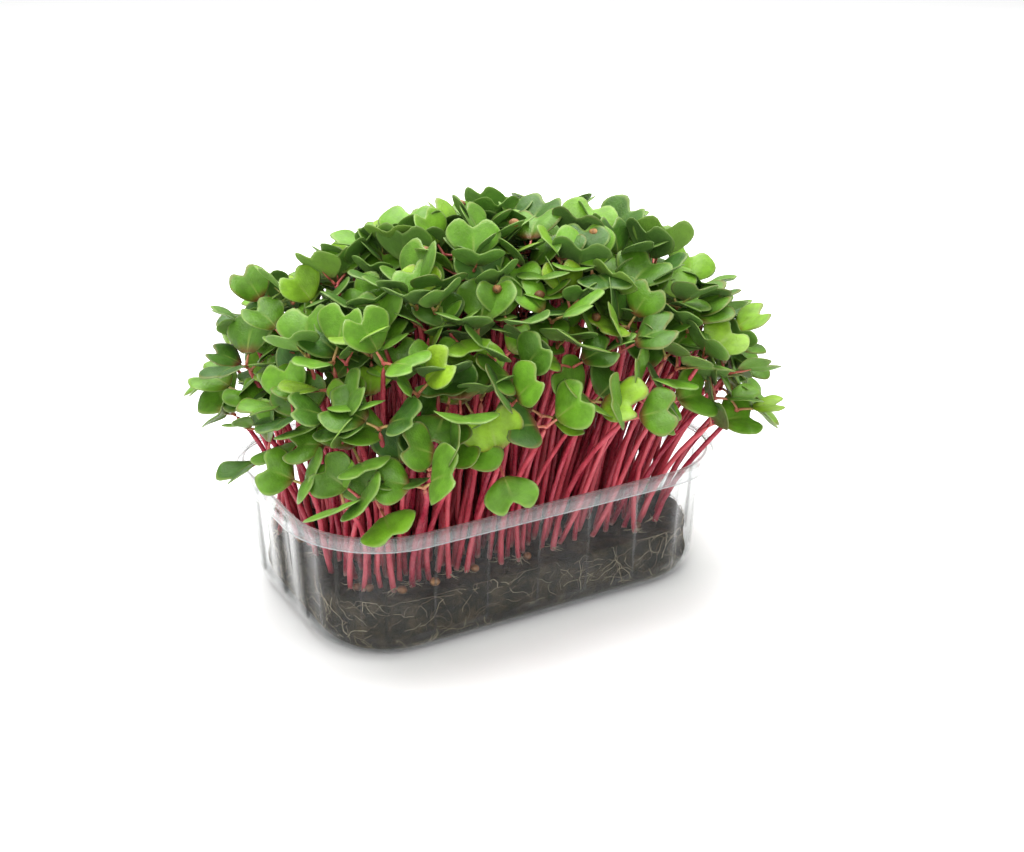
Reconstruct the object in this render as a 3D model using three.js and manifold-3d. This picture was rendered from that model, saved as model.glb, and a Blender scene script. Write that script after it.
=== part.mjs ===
// A clear thermoformed punnet of radish microgreens: the fluted tray, the block of growing medium
// that fills its lower half, the sprouts that stand in it and a few seed husks.
// Millimetres, +Z up, +X along the tray. The origin is the centre of the tray's underside.
import * as THREE from "three";
import { mergeVertices } from "three/addons/utils/BufferGeometryUtils.js";
import Module from "manifold-3d";

// ---------------------------------------------------------------- driving dimensions
const TRAY = {
  length: 143,
  width: 95,
  height: 41,
  cornerRadius: 31,
  wall: 0.6,
  rimWidth: 3.6,
  lipDepth: 3.4,
  draft: 1.9, // how far the wall leans in from the rim to the foot
  footRadius: 7,
  flutes: 25,
  fluteDepth: 0.9,
};
const MEDIUM = { top: 18.5, gap: 0.4, shoulder: 2.6, shoulderDrop: 1.5, sides: 56 };
const SPROUTS = {
  count: 54,
  tries: 220,
  rootInset: 10.8, // from the rim's outline to the outermost stem's foot
  stemRadius: 0.95,
  stemSides: 4,
  stemSteps: 6,
  bladeThickness: 0.8,
  smallestDetail: 0.05, // the joins' smaller edges are merged away
  spreadX: 1.15, // how much wider the canopy's crowns stand than the feet
  spreadY: 1.32,
  sway: 6, // how far the whole canopy leans towards +X
  topHeight: 96, // of the highest crowns, above the table
  domeDrop: 8,
  rimClearance: 2, // from the rim up to the lowest leaf
  enoughRoom: 5.5, // between the sampled points of two sprouts
  depth: 14, // how much lower a crown can be than its neighbours in the middle
  edgeDepth: 38, // and how much more at the canopy's two ends
  nod: 0.8, // how strongly the outermost crowns lean outwards
};
const PETIOLE = { overlap: 0.5, halfWidth: 0.6 }; // how far it starts inside the stem
const HUSK = { radius: 1.75, squash: 0.72 };
const JOINT_GAP = 0.3; // between a stem's foot and the medium

const COLOURS = {
  punnet: 0xdfe3e6,
  medium: 0x2b241c,
  sprout: 0x4f8a2b,
  husk: 0xa9743f,
};

// ---------------------------------------------------------------- the tray's plan
const half = { x: TRAY.length / 2, y: TRAY.width / 2 };
const WALL_INSET = TRAY.rimWidth + TRAY.draft + TRAY.wall + TRAY.fluteDepth;
const core = { x: half.x - TRAY.cornerRadius, y: half.y - TRAY.cornerRadius };

// The point a share of the way round the tray, with the outward direction there.
function planAt(share) {
  const arc = (Math.PI / 2) * TRAY.cornerRadius;
  const sides = [2 * core.y, arc, 2 * core.x, arc, 2 * core.y, arc, 2 * core.x, arc];
  let along = share * sides.reduce((sum, side) => sum + side, 0);
  let piece = 0;
  while (along > sides[piece] && piece < sides.length - 1) {
    along -= sides[piece];
    piece += 1;
  }
  const quarter = Math.floor(piece / 2);
  const isArc = piece % 2 === 1;
  const angle = (quarter + (isArc ? along / arc : 0)) * (Math.PI / 2);
  const signX = quarter === 0 || quarter === 3 ? 1 : -1;
  const signY = quarter < 2 ? 1 : -1;
  const centre = { x: signX * core.x, y: signY * core.y };
  if (!isArc) {
    if (quarter === 0) centre.y = -core.y + along;
    if (quarter === 1) centre.x = core.x - along;
    if (quarter === 2) centre.y = core.y - along;
    if (quarter === 3) centre.x = -core.x + along;
  }
  return { centre, outward: { x: Math.cos(angle), y: Math.sin(angle) } };
}

// How far a point lies inside the rim's outline.
function insetAt(x, y) {
  const dx = Math.max(Math.abs(x) - core.x, 0);
  const dy = Math.max(Math.abs(y) - core.y, 0);
  return TRAY.cornerRadius - Math.sqrt(dx * dx + dy * dy);
}

// A closed body from a profile of [inset, height, flute share] that runs from axis to axis: a lathe whose
// circle is drawn out to the tray's plan. An inset of null is on the axis.
function trayLathe(profile, shares, fluteAt) {
  const points = profile.map(([inset, z]) => new THREE.Vector2(inset === null ? 0 : 100 - inset, z));
  const geometry = new THREE.LatheGeometry(points, shares.length);
  const position = geometry.attributes.position;
  for (let side = 0; side <= shares.length; side += 1) {
    const share = shares[side % shares.length];
    const { centre, outward } = planAt(share);
    profile.forEach(([inset, z, flute], row) => {
      const at = side * profile.length + row;
      if (inset === null) {
        position.setXYZ(at, 0, 0, z);
        return;
      }
      const reach = TRAY.cornerRadius - inset - flute * fluteAt(side % shares.length);
      position.setXYZ(at, centre.x + outward.x * reach, centre.y + outward.y * reach, z);
    });
  }
  return geometry;
}

function punnetGeometry() {
  const { height, wall, rimWidth, lipDepth, draft, footRadius, flutes, fluteDepth } = TRAY;
  const corners = [0, 0.1, 0.5, 0.6]; // where each flute's four corners lie in its pitch
  const shares = [];
  for (let flute = 0; flute < flutes; flute += 1)
    corners.forEach((corner) => shares.push((flute + corner) / flutes));
  const fluteAt = (side) => (side % 4 === 0 || side % 4 === 3 ? fluteDepth : 0);
  const foot = rimWidth + draft;
  const base = foot + footRadius;
  const fluteFoot = footRadius + 2;
  const fluteTop = height - 6;
  const halfway = Math.PI / 4;
  const onFillet = (radius) => [
    base - radius * Math.cos(halfway),
    footRadius - radius * Math.sin(halfway),
    0,
  ];
  const lean = (z) => foot - (draft * z) / height;
  const outer = [
    [null, 0, 0],
    [base, 0, 0],
    onFillet(footRadius),
    [foot, footRadius, 0],
    [lean(fluteFoot), fluteFoot, 1],
    [lean(fluteTop), fluteTop, 1],
    [rimWidth, height - wall, 0],
  ];
  const lip = [
    [wall, height - wall, 0],
    [wall, height - lipDepth, 0],
    [0, height - lipDepth, 0],
    [0, height, 0],
  ];
  const inner = [
    [rimWidth + wall, height, 0],
    [lean(fluteTop) + wall, fluteTop, 1],
    [lean(fluteFoot) + wall, fluteFoot, 1],
    [foot + wall, footRadius, 0],
    onFillet(footRadius - wall),
    [base, wall, 0],
    [null, wall, 0],
  ];
  return trayLathe([...outer, ...lip, ...inner], shares, fluteAt);
}

function mediumGeometry() {
  const { wall, rimWidth, draft, footRadius, fluteDepth } = TRAY;
  const side = rimWidth + draft + wall + MEDIUM.gap;
  const edge = side + fluteDepth;
  const profile = [
    [null, wall + MEDIUM.gap, 0],
    [side + footRadius, wall + MEDIUM.gap, 0],
    [side + footRadius * 0.35, wall + MEDIUM.gap + footRadius * 0.3, 0],
    [edge, footRadius + 1, 0],
    [edge - 0.3, MEDIUM.top - MEDIUM.shoulderDrop, 0],
    [edge + MEDIUM.shoulder, MEDIUM.top, 0],
    [null, MEDIUM.top, 0],
  ];
  const shares = Array.from({ length: MEDIUM.sides }, (_, side) => side / MEDIUM.sides);
  return trayLathe(profile, shares, () => 0);
}

// ---------------------------------------------------------------- how the sprouts stand
// The same even numbers on every run: a linear congruential sequence for each sprout.
function diceOf(seed) {
  let state = (seed * 7919 + 12345) % 4294967296;
  return (low, high) => {
    state = (state * 1664525 + 1013904223) % 4294967296;
    return low + ((high - low) * state) / 4294967296;
  };
}

const vector = (x, y, z) => new THREE.Vector3(x, y, z);

// Feet on an even scatter over the medium, each far enough from the wall.
function feet(count) {
  const found = [];
  for (let index = 1; found.length < count; index += 1) {
    const x = 2 * half.x * ((0.5 + index * 0.7548776662466927) % 1) - half.x;
    const y = 2 * half.y * ((0.5 + index * 0.5698402909980532) % 1) - half.y;
    if (insetAt(x, y) > SPROUTS.rootInset) found.push([x, y]);
  }
  return found;
}

// One way that a sprout with this foot could stand: its stem's four control points and its two leaves.
function stance([x, y], dice) {
  const rimX = half.x - SPROUTS.rootInset;
  const rimY = half.y - SPROUTS.rootInset;
  const edge = Math.min(1, Math.pow(Math.pow(x / rimX, 4) + Math.pow(y / rimY, 4), 0.25));
  const end = x / rimX;
  const low = dice(0, 1);
  const reach = 1 + 0.1 * low * edge * edge;
  const drop =
    SPROUTS.domeDrop * edge * edge +
    low * (SPROUTS.depth + SPROUTS.edgeDepth * Math.pow(edge, 3) * (0.35 + 0.65 * end * end));
  const foot = vector(x, y, MEDIUM.top + JOINT_GAP);
  const crown = vector(
    x * SPROUTS.spreadX * reach + SPROUTS.sway + dice(-5, 5),
    y * SPROUTS.spreadY * reach + dice(-5, 5),
    SPROUTS.topHeight - drop,
  );
  const rise = crown.z - foot.z;
  const lean = crown.clone().sub(foot).normalize();
  const nod = SPROUTS.nod * Math.pow(edge, 3) * (0.3 + 0.7 * low);
  const outward = vector(x, y, 0).normalize().multiplyScalar(nod);
  const axis = lean.clone().multiplyScalar(0.75).add(vector(0, 0, 0.5)).add(outward).normalize();
  const swell = vector(dice(-0.14, 0.14), dice(-0.14, 0.14), 0);
  const stem = [
    foot,
    foot.clone().add(vector(lean.x * 0.25, lean.y * 0.25, 0.42).add(swell).multiplyScalar(rise)),
    crown.clone().addScaledVector(axis, -0.36 * rise),
    crown,
  ];
  const turn = dice(0, 2 * Math.PI);
  const beside = vector(Math.cos(turn), Math.sin(turn), 0);
  beside.addScaledVector(axis, -beside.dot(axis)).normalize();
  const size = dice(0.86, 1.12);
  const leaves = [1, -1].map((sign) => {
    const open = (dice(14, 60) * Math.PI) / 180; // up from square to the stem
    const scale = size * (sign > 0 ? 1 : dice(0.78, 0.95));
    const out = beside.clone().multiplyScalar(sign);
    const along = out.clone().multiplyScalar(Math.cos(open)).addScaledVector(axis, Math.sin(open));
    const normal = axis.clone().multiplyScalar(Math.cos(open)).addScaledVector(out, -Math.sin(open));
    return {
      base: crown.clone().addScaledVector(along, dice(2.8, 5)),
      along,
      normal,
      across: along.clone().cross(normal),
      length: 12.2 * scale,
      width: 16.2 * scale,
      cup: dice(0.06, 0.32),
      arch: dice(-0.3, 0.05),
    };
  });
  return { stem, crown, axis, leaves };
}

const curveOf = (stem) => new THREE.CubicBezierCurve3(...stem);

// A point of a leaf's blade: s from its petiole to its tip, t from one edge to the other, up from its middle.
function bladePoint(leaf, s, t, up = 0) {
  const wide = Math.pow(Math.sin(Math.PI * (0.03 + 0.59 * s)), 0.8) * t;
  const far = s * (0.76 + 0.24 * Math.sin(Math.PI * Math.abs(t)) - 0.1 * t * t);
  const rise = leaf.cup * Math.pow(Math.abs(wide), 1.6) + leaf.arch * far * far;
  return leaf.base
    .clone()
    .addScaledVector(leaf.across, (wide * leaf.width) / 2)
    .addScaledVector(leaf.along, far * leaf.length)
    .addScaledVector(leaf.normal, rise * leaf.length * 0.7 + up);
}

const STEM_SAMPLES = Array.from({ length: 14 }, (_, index) => (index + 0.7) / 14);
const BLADE_SAMPLES = [0.05, 0.35, 0.65, 0.95].flatMap((s) =>
  [-0.95, -0.5, 0, 0.5, 0.95].map((t) => [s, t]),
);

function samplesOf(sprout) {
  const curve = curveOf(sprout.stem);
  const stem = STEM_SAMPLES.map((share) => curve.getPoint(share));
  const stalks = sprout.leaves.map((leaf) => sprout.crown.clone().lerp(leaf.base, 0.5));
  const blades = sprout.leaves.flatMap((leaf) => BLADE_SAMPLES.map(([s, t]) => bladePoint(leaf, s, t)));
  return { stem, blades: [...stalks, ...blades] };
}

// How much room a stance leaves to the tray.
function trayRoom({ stem, blades }) {
  const rim = TRAY.height + SPROUTS.rimClearance;
  const beside = stem
    .filter((point) => point.z < rim)
    .map((point) => insetAt(point.x, point.y) - WALL_INSET);
  const above = blades.map((point) => point.z - rim);
  return Math.min(...beside, ...above);
}

// How much room it leaves to a sprout that already stands, or less than enough as soon as that is known.
function roomBetween(points, others, enough) {
  let room = Infinity;
  for (const other of others)
    for (const point of points) room = Math.min(room, point.distanceTo(other));
  return Math.min(room, enough);
}

function standSprouts(count) {
  const standing = [];
  return feet(count).map((foot, index) => {
    const dice = diceOf(index + 1);
    let best = { room: -Infinity };
    for (let attempt = 0; attempt < SPROUTS.tries; attempt += 1) {
      const sprout = stance(foot, dice);
      const samples = samplesOf(sprout);
      const points = [...samples.stem, ...samples.blades];
      let room = Math.min(trayRoom(samples), SPROUTS.enoughRoom);
      for (const other of standing) {
        if (room <= best.room) break;
        room = roomBetween(points, other, room);
      }
      if (room > best.room) best = { sprout, points, room };
      if (best.room >= SPROUTS.enoughRoom) break;
    }
    standing.push(best.points);
    return best.sprout;
  });
}

// ---------------------------------------------------------------- joining solids
const wasm = await Module();
wasm.setup();

function solidOf(geometry) {
  const bare = new THREE.BufferGeometry()
    .setAttribute("position", geometry.attributes.position)
    .setIndex(geometry.index);
  const merged = mergeVertices(bare, 1e-3);
  return new wasm.Manifold(
    new wasm.Mesh({
      numProp: 3,
      vertProperties: new Float32Array(merged.attributes.position.array),
      triVerts: new Uint32Array(merged.index.array),
    }),
  );
}

function geometryOf(solid) {
  const mesh = solid.getMesh();
  return new THREE.BufferGeometry()
    .setAttribute("position", new THREE.BufferAttribute(mesh.vertProperties, 3))
    .setIndex(new THREE.BufferAttribute(mesh.triVerts, 1));
}

// ---------------------------------------------------------------- one sprout
function stemSolid(sprout) {
  const { stemRadius, stemSides, stemSteps } = SPROUTS;
  const section = new THREE.Shape();
  for (let side = 0; side < stemSides; side += 1) {
    const angle = (side / stemSides) * 2 * Math.PI;
    const x = stemRadius * Math.cos(angle);
    const y = stemRadius * Math.sin(angle);
    if (side === 0) section.moveTo(x, y);
    else section.lineTo(x, y);
  }
  const geometry = new THREE.ExtrudeGeometry(section, {
    extrudePath: curveOf(sprout.stem),
    steps: stemSteps,
    bevelEnabled: false,
  });
  return solidOf(geometry);
}

// A leaf is a thin box of 2 by 3 cells, bent to its shape row by row: from the crown along the petiole, then
// the blade's neck, its widest place and the two lobes with the notch between them.
function leafSolid(sprout, leaf) {
  const blade = [
    { s: 0.05, t: 1 },
    { s: 0.62, t: 1 },
    { s: 1, t: 0.55 },
  ];
  const geometry = new THREE.BoxGeometry(2, blade.length, SPROUTS.bladeThickness, 2, blade.length, 1);
  const position = geometry.attributes.position;
  for (let i = 0; i < position.count; i += 1) {
    const side = position.getX(i);
    const row = Math.round(position.getY(i) + blade.length / 2);
    const up = position.getZ(i);
    const atCrown = sprout.crown
      .clone()
      .addScaledVector(leaf.along, -PETIOLE.overlap)
      .addScaledVector(leaf.across, side * PETIOLE.halfWidth)
      .addScaledVector(leaf.normal, up);
    const point = row === 0 ? atCrown : bladePoint(leaf, blade[row - 1].s, side * blade[row - 1].t, up);
    position.setXYZ(i, point.x, point.y, point.z);
  }
  const solid = solidOf(geometry);
  return solid.volume() < 0 ? mirrored(geometry) : solid;
}

function mirrored(geometry) {
  const index = geometry.index;
  for (let i = 0; i < index.count; i += 3) {
    const kept = index.getX(i + 1);
    index.setX(i + 1, index.getX(i + 2));
    index.setX(i + 2, kept);
  }
  return solidOf(geometry);
}

function sproutGeometry(sprout) {
  const joined = sprout.leaves.reduce(
    (solid, leaf) => solid.add(leafSolid(sprout, leaf)),
    stemSolid(sprout),
  );
  return geometryOf(joined.simplify(SPROUTS.smallestDetail));
}

// ---------------------------------------------------------------- seed husks
// Two lie on the medium by the long walls, and two are still caught on a leaf high in the canopy.
function huskPlaces(sprouts) {
  const low = MEDIUM.top + HUSK.radius * HUSK.squash + JOINT_GAP;
  const onLeaf = (sprout) => {
    const leaf = sprout.leaves[0];
    return bladePoint(leaf, 0.75, 0, HUSK.radius + SPROUTS.bladeThickness);
  };
  return [
    vector(-34, -36.4, low),
    vector(31, 36.2, low),
    onLeaf(sprouts[3]),
    onLeaf(sprouts[10]),
  ];
}

function huskGeometry() {
  return new THREE.SphereGeometry(HUSK.radius, 8, 6).rotateX(Math.PI / 2).scale(1, 0.86, HUSK.squash);
}

// ---------------------------------------------------------------- assembly
const group = new THREE.Group();

function addPiece(name, geometry, colour, look = {}) {
  const material = new THREE.MeshStandardMaterial({ color: colour, roughness: 0.6, metalness: 0, ...look });
  const mesh = new THREE.Mesh(geometry, material);
  mesh.name = name;
  group.add(mesh);
  return mesh;
}

const twoDigits = (number) => String(number).padStart(2, "0");

addPiece("punnet", punnetGeometry(), COLOURS.punnet, { roughness: 0.1, transparent: true, opacity: 0.3 });
addPiece("growing_medium", mediumGeometry(), COLOURS.medium, { roughness: 1 });

const sprouts = standSprouts(SPROUTS.count);
sprouts.forEach((sprout, index) => {
  addPiece(`sprout_${twoDigits(index + 1)}`, sproutGeometry(sprout), COLOURS.sprout);
});
huskPlaces(sprouts).forEach((place, index) => {
  addPiece(`seed_husk_${index + 1}`, huskGeometry(), COLOURS.husk).position.copy(place);
});

export default group;
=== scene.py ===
"""A clear punnet of radish microgreens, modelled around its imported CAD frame.

The layout functions work in millimetres, like the part itself. Each piece is scaled to metres once, when its
mesh is finished.
"""

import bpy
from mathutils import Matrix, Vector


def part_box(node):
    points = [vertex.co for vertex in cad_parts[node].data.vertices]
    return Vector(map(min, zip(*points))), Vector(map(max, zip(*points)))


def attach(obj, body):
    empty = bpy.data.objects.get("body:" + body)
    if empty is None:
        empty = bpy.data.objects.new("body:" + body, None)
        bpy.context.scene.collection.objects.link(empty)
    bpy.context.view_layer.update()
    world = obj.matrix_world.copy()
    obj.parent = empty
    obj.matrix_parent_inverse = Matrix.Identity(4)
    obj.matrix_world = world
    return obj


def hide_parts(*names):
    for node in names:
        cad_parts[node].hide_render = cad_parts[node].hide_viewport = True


bl_info = {
    "name": "Microgreens punnet",
    "version": (1, 0, 0),
    "blender": (4, 5, 0),
    "location": "3D View > Sidebar > Microgreens",
    "description": "Grows a punnet of radish microgreens: tray, medium, roots, sprouts and seed husks",
    "category": "Add Mesh",
}

import math

import bmesh
import bpy
import numpy as np
from bpy.props import FloatProperty, FloatVectorProperty, IntProperty, PointerProperty
from mathutils import Matrix, Vector, noise

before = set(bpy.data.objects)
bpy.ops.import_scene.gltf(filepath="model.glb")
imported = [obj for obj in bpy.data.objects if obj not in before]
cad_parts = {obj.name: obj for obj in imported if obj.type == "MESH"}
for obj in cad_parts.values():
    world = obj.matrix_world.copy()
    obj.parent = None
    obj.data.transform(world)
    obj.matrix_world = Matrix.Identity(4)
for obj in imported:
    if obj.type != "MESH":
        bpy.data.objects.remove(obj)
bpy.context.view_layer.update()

MM = 0.001
UP = np.array((0.0, 0.0, 1.0))
MIX_FACTOR, MIX_LOW, MIX_HIGH, MIX_RESULT = 0, 6, 7, 2

# ------------------------------------------------------------------ sizes shared with the CAD part, in mm
PUNNET_LOW, PUNNET_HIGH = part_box("punnet")
MEDIUM_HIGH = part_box("growing_medium")[1]
LENGTH = (PUNNET_HIGH.x - PUNNET_LOW.x) / MM
WIDTH = (PUNNET_HIGH.y - PUNNET_LOW.y) / MM
HEIGHT = PUNNET_HIGH.z / MM
MEDIUM_TOP = MEDIUM_HIGH.z / MM
CORNER_RADIUS = 31
WALL = 0.6
RIM_WIDTH = 3.6
LIP_DEPTH = 3.4
DRAFT = 1.9
FOOT_RADIUS = 7
FLUTES = 25
FLUTE_DEPTH = 0.9
HALF_X, HALF_Y = round(LENGTH, 3) / 2, round(WIDTH, 3) / 2  # rounded, as the CAD layout takes whole sizes
CORE_X, CORE_Y = HALF_X - CORNER_RADIUS, HALF_Y - CORNER_RADIUS
FOOT_INSET = RIM_WIDTH + DRAFT
WALL_INSET = FOOT_INSET + WALL + FLUTE_DEPTH

# ------------------------------------------------------------------ sizes that the CAD part doesn't have, in mm
END_GAP = 5  # how far the peat has shrunk from the film at each end
OUTER_INSET = 16  # feet nearer the rim's outline than this are outer ones
HAIRS_PER_FOOT = 9

# ------------------------------------------------------------------ where each run of dice starts
SPROUT_SEED = 9000
ROOT_SEED = 4001
CRUMB_SEED = 5003
HUSK_SEED = 700
HUSK_PLACE_SEED = 7007

# ------------------------------------------------------------------ the layout, in mm
# The CAD part has the same one, but for the BETWEEN values, which are for the sprouts that it doesn't have.
CAD_SPROUTS = sum(name.startswith("sprout_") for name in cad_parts)
CAD_HUSKS = sum(name.startswith("seed_husk_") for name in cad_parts)
CAD_TRIES = 220
CAD_ROOM = 5.5  # a clearance that ends the tries
BETWEEN_TRIES = 20
BETWEEN_ROOM = 2.2
BETWEEN_INSET = 14.5  # how far inside the rim's outline a foot may stand
ROOT_INSET = 10.8
JOINT_GAP = 0.3
RIM_CLEARANCE = 2
SPREAD_X, SPREAD_Y = 1.15, 1.32
SWAY = 6
TOP_HEIGHT = 96
DOME_DROP = 8
CROWN_DEPTH = 14
EDGE_DEPTH = 38
NOD = 0.8
BLADE_LENGTH, BLADE_WIDTH = 12.2, 16.2


# ------------------------------------------------------------------ the punnet's plan
def plan_at(share):
    """The point a share of the way round the rounded rectangle, and the outward direction there."""
    arc = math.pi / 2 * CORNER_RADIUS
    sides = [2 * CORE_Y, arc, 2 * CORE_X, arc] * 2
    along = share * sum(sides)
    piece = 0
    while along > sides[piece] and piece < len(sides) - 1:
        along -= sides[piece]
        piece += 1
    quarter, is_arc = divmod(piece, 2)
    angle = (quarter + (along / arc if is_arc else 0)) * math.pi / 2
    x = CORE_X if quarter in (0, 3) else -CORE_X
    y = CORE_Y if quarter < 2 else -CORE_Y
    if not is_arc:
        x, y = [(x, -CORE_Y + along), (CORE_X - along, y), (x, CORE_Y - along), (-CORE_X + along, y)][quarter]
    return Vector((x, y)), Vector((math.cos(angle), math.sin(angle)))


def inset_at(x, y):
    """How far points lie inside the rim's outline."""
    dx = np.maximum(np.abs(x) - CORE_X, 0)
    dy = np.maximum(np.abs(y) - CORE_Y, 0)
    return CORNER_RADIUS - np.sqrt(dx * dx + dy * dy)


# ------------------------------------------------------------------ how the sprouts stand
SCATTER_X, SCATTER_Y = 0.7548776662466927, 0.5698402909980532  # steps that fill a square evenly


def dice_of(seed):
    """The same even numbers on every run: a linear congruential sequence."""
    state = (seed * 7919 + 12345) % 4294967296

    def dice(low, high):
        nonlocal state
        state = (state * 1664525 + 1013904223) % 4294967296
        return low + (high - low) * state / 4294967296

    return dice


def feet(count):
    """Feet on an even scatter over the medium, each far enough from the wall."""
    found = []
    index = 1
    while len(found) < count:
        least = ROOT_INSET if len(found) < CAD_SPROUTS else BETWEEN_INSET
        x = 2 * HALF_X * ((0.5 + index * SCATTER_X) % 1) - HALF_X
        y = 2 * HALF_Y * ((0.5 + index * SCATTER_Y) % 1) - HALF_Y
        if inset_at(x, y) > least:
            found.append((x, y))
        index += 1
    return found


def unit(vector):
    return vector / math.sqrt(vector @ vector)


class Leaf:
    """One seed leaf: where its blade starts, the directions it lies in, and its shape."""

    def __init__(self, crown, axis, beside, sign, size, lifts, dice):
        lift = dice(*lifts) * math.pi / 180
        scale = size * (1 if sign > 0 else dice(0.78, 0.95))
        out = beside * sign
        self.along = out * math.cos(lift) + axis * math.sin(lift)
        self.normal = axis * math.cos(lift) - out * math.sin(lift)
        self.across = np.cross(self.along, self.normal)
        self.base = crown + self.along * dice(2.8, 5)
        self.length = BLADE_LENGTH * scale
        self.width = BLADE_WIDTH * scale
        self.cup = dice(0.06, 0.32)
        self.arch = dice(-0.3, 0.05)

    def points(self, s, t, lift=0.0):
        """Points of the blade: s runs from petiole to tip, t from edge to edge, lift out of its middle."""
        wide = np.sin(np.pi * (0.03 + 0.59 * s)) ** 0.8 * t
        far = s * (0.76 + 0.24 * np.sin(np.pi * np.abs(t)) - 0.1 * t * t)
        rise = (self.cup * np.abs(wide) ** 1.6 + self.arch * far * far) * self.length * 0.7 + lift
        return (
            self.base
            + np.multiply.outer(wide * self.width / 2, self.across)
            + np.multiply.outer(far * self.length, self.along)
            + np.multiply.outer(rise, self.normal)
        )


class Sprout:
    """One way that a sprout with this foot could stand. The ones between hang lower at the canopy's edge."""

    def __init__(self, place, dice, between=False):
        x, y = place
        inset = BETWEEN_INSET if between else ROOT_INSET
        rim_x, rim_y = HALF_X - inset, HALF_Y - inset
        edge = min(1, ((x / rim_x) ** 4 + (y / rim_y) ** 4) ** 0.25)
        end = x / rim_x
        low = dice(0, 1)
        if between:
            low += (1 - low) * (0.55 - 0.15 * y / rim_y) * edge**3 - 0.8 * (1 - edge)
        reach = 1 + 0.1 * low * edge * edge
        depth = CROWN_DEPTH + EDGE_DEPTH * edge**3 * (0.35 + 0.65 * end * end)
        drop = DOME_DROP * edge * edge + low * depth
        foot = np.array((x, y, MEDIUM_FOOT))
        crown_x = x * SPREAD_X * (HALF_X - ROOT_INSET) / rim_x * reach + SWAY + dice(-5, 5)
        crown_y = y * SPREAD_Y * (HALF_Y - ROOT_INSET) / rim_y * reach + dice(-5, 5)
        self.crown = np.array((crown_x, crown_y, TOP_HEIGHT - drop))
        rise = self.crown[2] - foot[2]
        lean = unit(self.crown - foot)
        outward = unit(np.array((x, y, 0.0))) * NOD * edge**3 * (0.3 + 0.7 * low)
        tilt = np.array((dice(-0.32, 0.32), dice(-0.32, 0.32), 0)) if between else 0
        self.axis = unit(lean * 0.75 + UP * 0.5 + outward + tilt)
        swell = np.array((dice(-0.14, 0.14), dice(-0.14, 0.14), 0))
        middle = foot + (np.array((lean[0] * 0.25, lean[1] * 0.25, 0.42)) + swell) * rise
        self.stem = [foot, middle, self.crown - self.axis * 0.36 * rise, self.crown]
        turn = dice(0, 2 * math.pi)
        beside = np.array((math.cos(turn), math.sin(turn), 0))
        beside = unit(beside - self.axis * (beside @ self.axis))
        size = dice(0.94, 1.22) if between else dice(0.86, 1.12)
        lifts = (10, 62) if between else (14, 60)
        self.leaves = [Leaf(self.crown, self.axis, beside, sign, size, lifts, dice) for sign in (1, -1)]

    def samples(self):
        """Points along the stem and over both blades, by which the clearance to others is judged."""
        stem = bezier(self.stem, STEM_SHARES)
        stalks = [(self.crown + leaf.base) / 2 for leaf in self.leaves]
        blades = np.concatenate([stalks, *(leaf.points(BLADE_S, BLADE_T) for leaf in self.leaves)])
        rim = HEIGHT + RIM_CLEARANCE
        beside = stem[stem[:, 2] < rim]
        tray_room = min((inset_at(beside[:, 0], beside[:, 1]) - WALL_INSET).min(), blades[:, 2].min() - rim)
        return np.concatenate((stem, blades)), tray_room


def bezier(control, shares):
    """Points of a cubic Bezier curve."""
    t = np.asarray(shares, float)[:, None]
    a, b, c, d = control
    return a * (1 - t) ** 3 + b * 3 * t * (1 - t) ** 2 + c * 3 * t * t * (1 - t) + d * t**3


MEDIUM_FOOT = round(MEDIUM_TOP, 3) + JOINT_GAP
STEM_SHARES = (np.arange(14) + 0.7) / 14
BLADE_S = np.repeat((0.05, 0.35, 0.65, 0.95), 5)
BLADE_T = np.tile((-0.95, -0.5, 0, 0.5, 0.95), 4)


def room_to(points, standing, reach, room, least):
    """The distance to the nearest sprout that stands, up to room. It stops at least or less."""
    near = (reach[:, 0] <= points.max(0) + room) & (reach[:, 1] >= points.min(0) - room)
    own = (points * points).sum(1)[:, None]
    for index in np.nonzero(near.all(1))[0]:
        others, sizes = standing[index]
        squared = own + sizes - 2 * (points @ others.T)
        room = min(room, math.sqrt(max(0.0, squared.min())))
        if room <= least:
            break
    return room


def stand_sprouts(count):
    """The CAD part's sprouts first, then the ones that stand between them with less room and fewer tries."""
    sprouts, standing = [], []
    reach = np.zeros((count, 2, 3))
    for index, place in enumerate(feet(count)):
        in_cad = index < CAD_SPROUTS
        enough = CAD_ROOM if in_cad else BETWEEN_ROOM
        dice = dice_of(index + 1)
        best, best_points, best_room = None, None, -math.inf
        for _ in range(CAD_TRIES if in_cad else BETWEEN_TRIES):
            sprout = Sprout(place, dice, not in_cad)
            points, tray_room = sprout.samples()
            room = min(tray_room, enough)
            if room > best_room:
                room = room_to(points, standing, reach[:index], room, best_room)
            if room > best_room:
                best, best_points, best_room = sprout, points, room
            if best_room >= enough:
                break
        sprouts.append(best)
        standing.append((best_points, (best_points * best_points).sum(1)[None, :]))
        reach[index] = best_points.min(0), best_points.max(0)
    return sprouts


# ------------------------------------------------------------------ mesh helpers
def new_bmesh(*attributes):
    """An empty bmesh whose points carry the named numbers."""
    bm = bmesh.new()
    for name in attributes:
        bm.verts.layers.float.new(name)
    return bm


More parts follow.
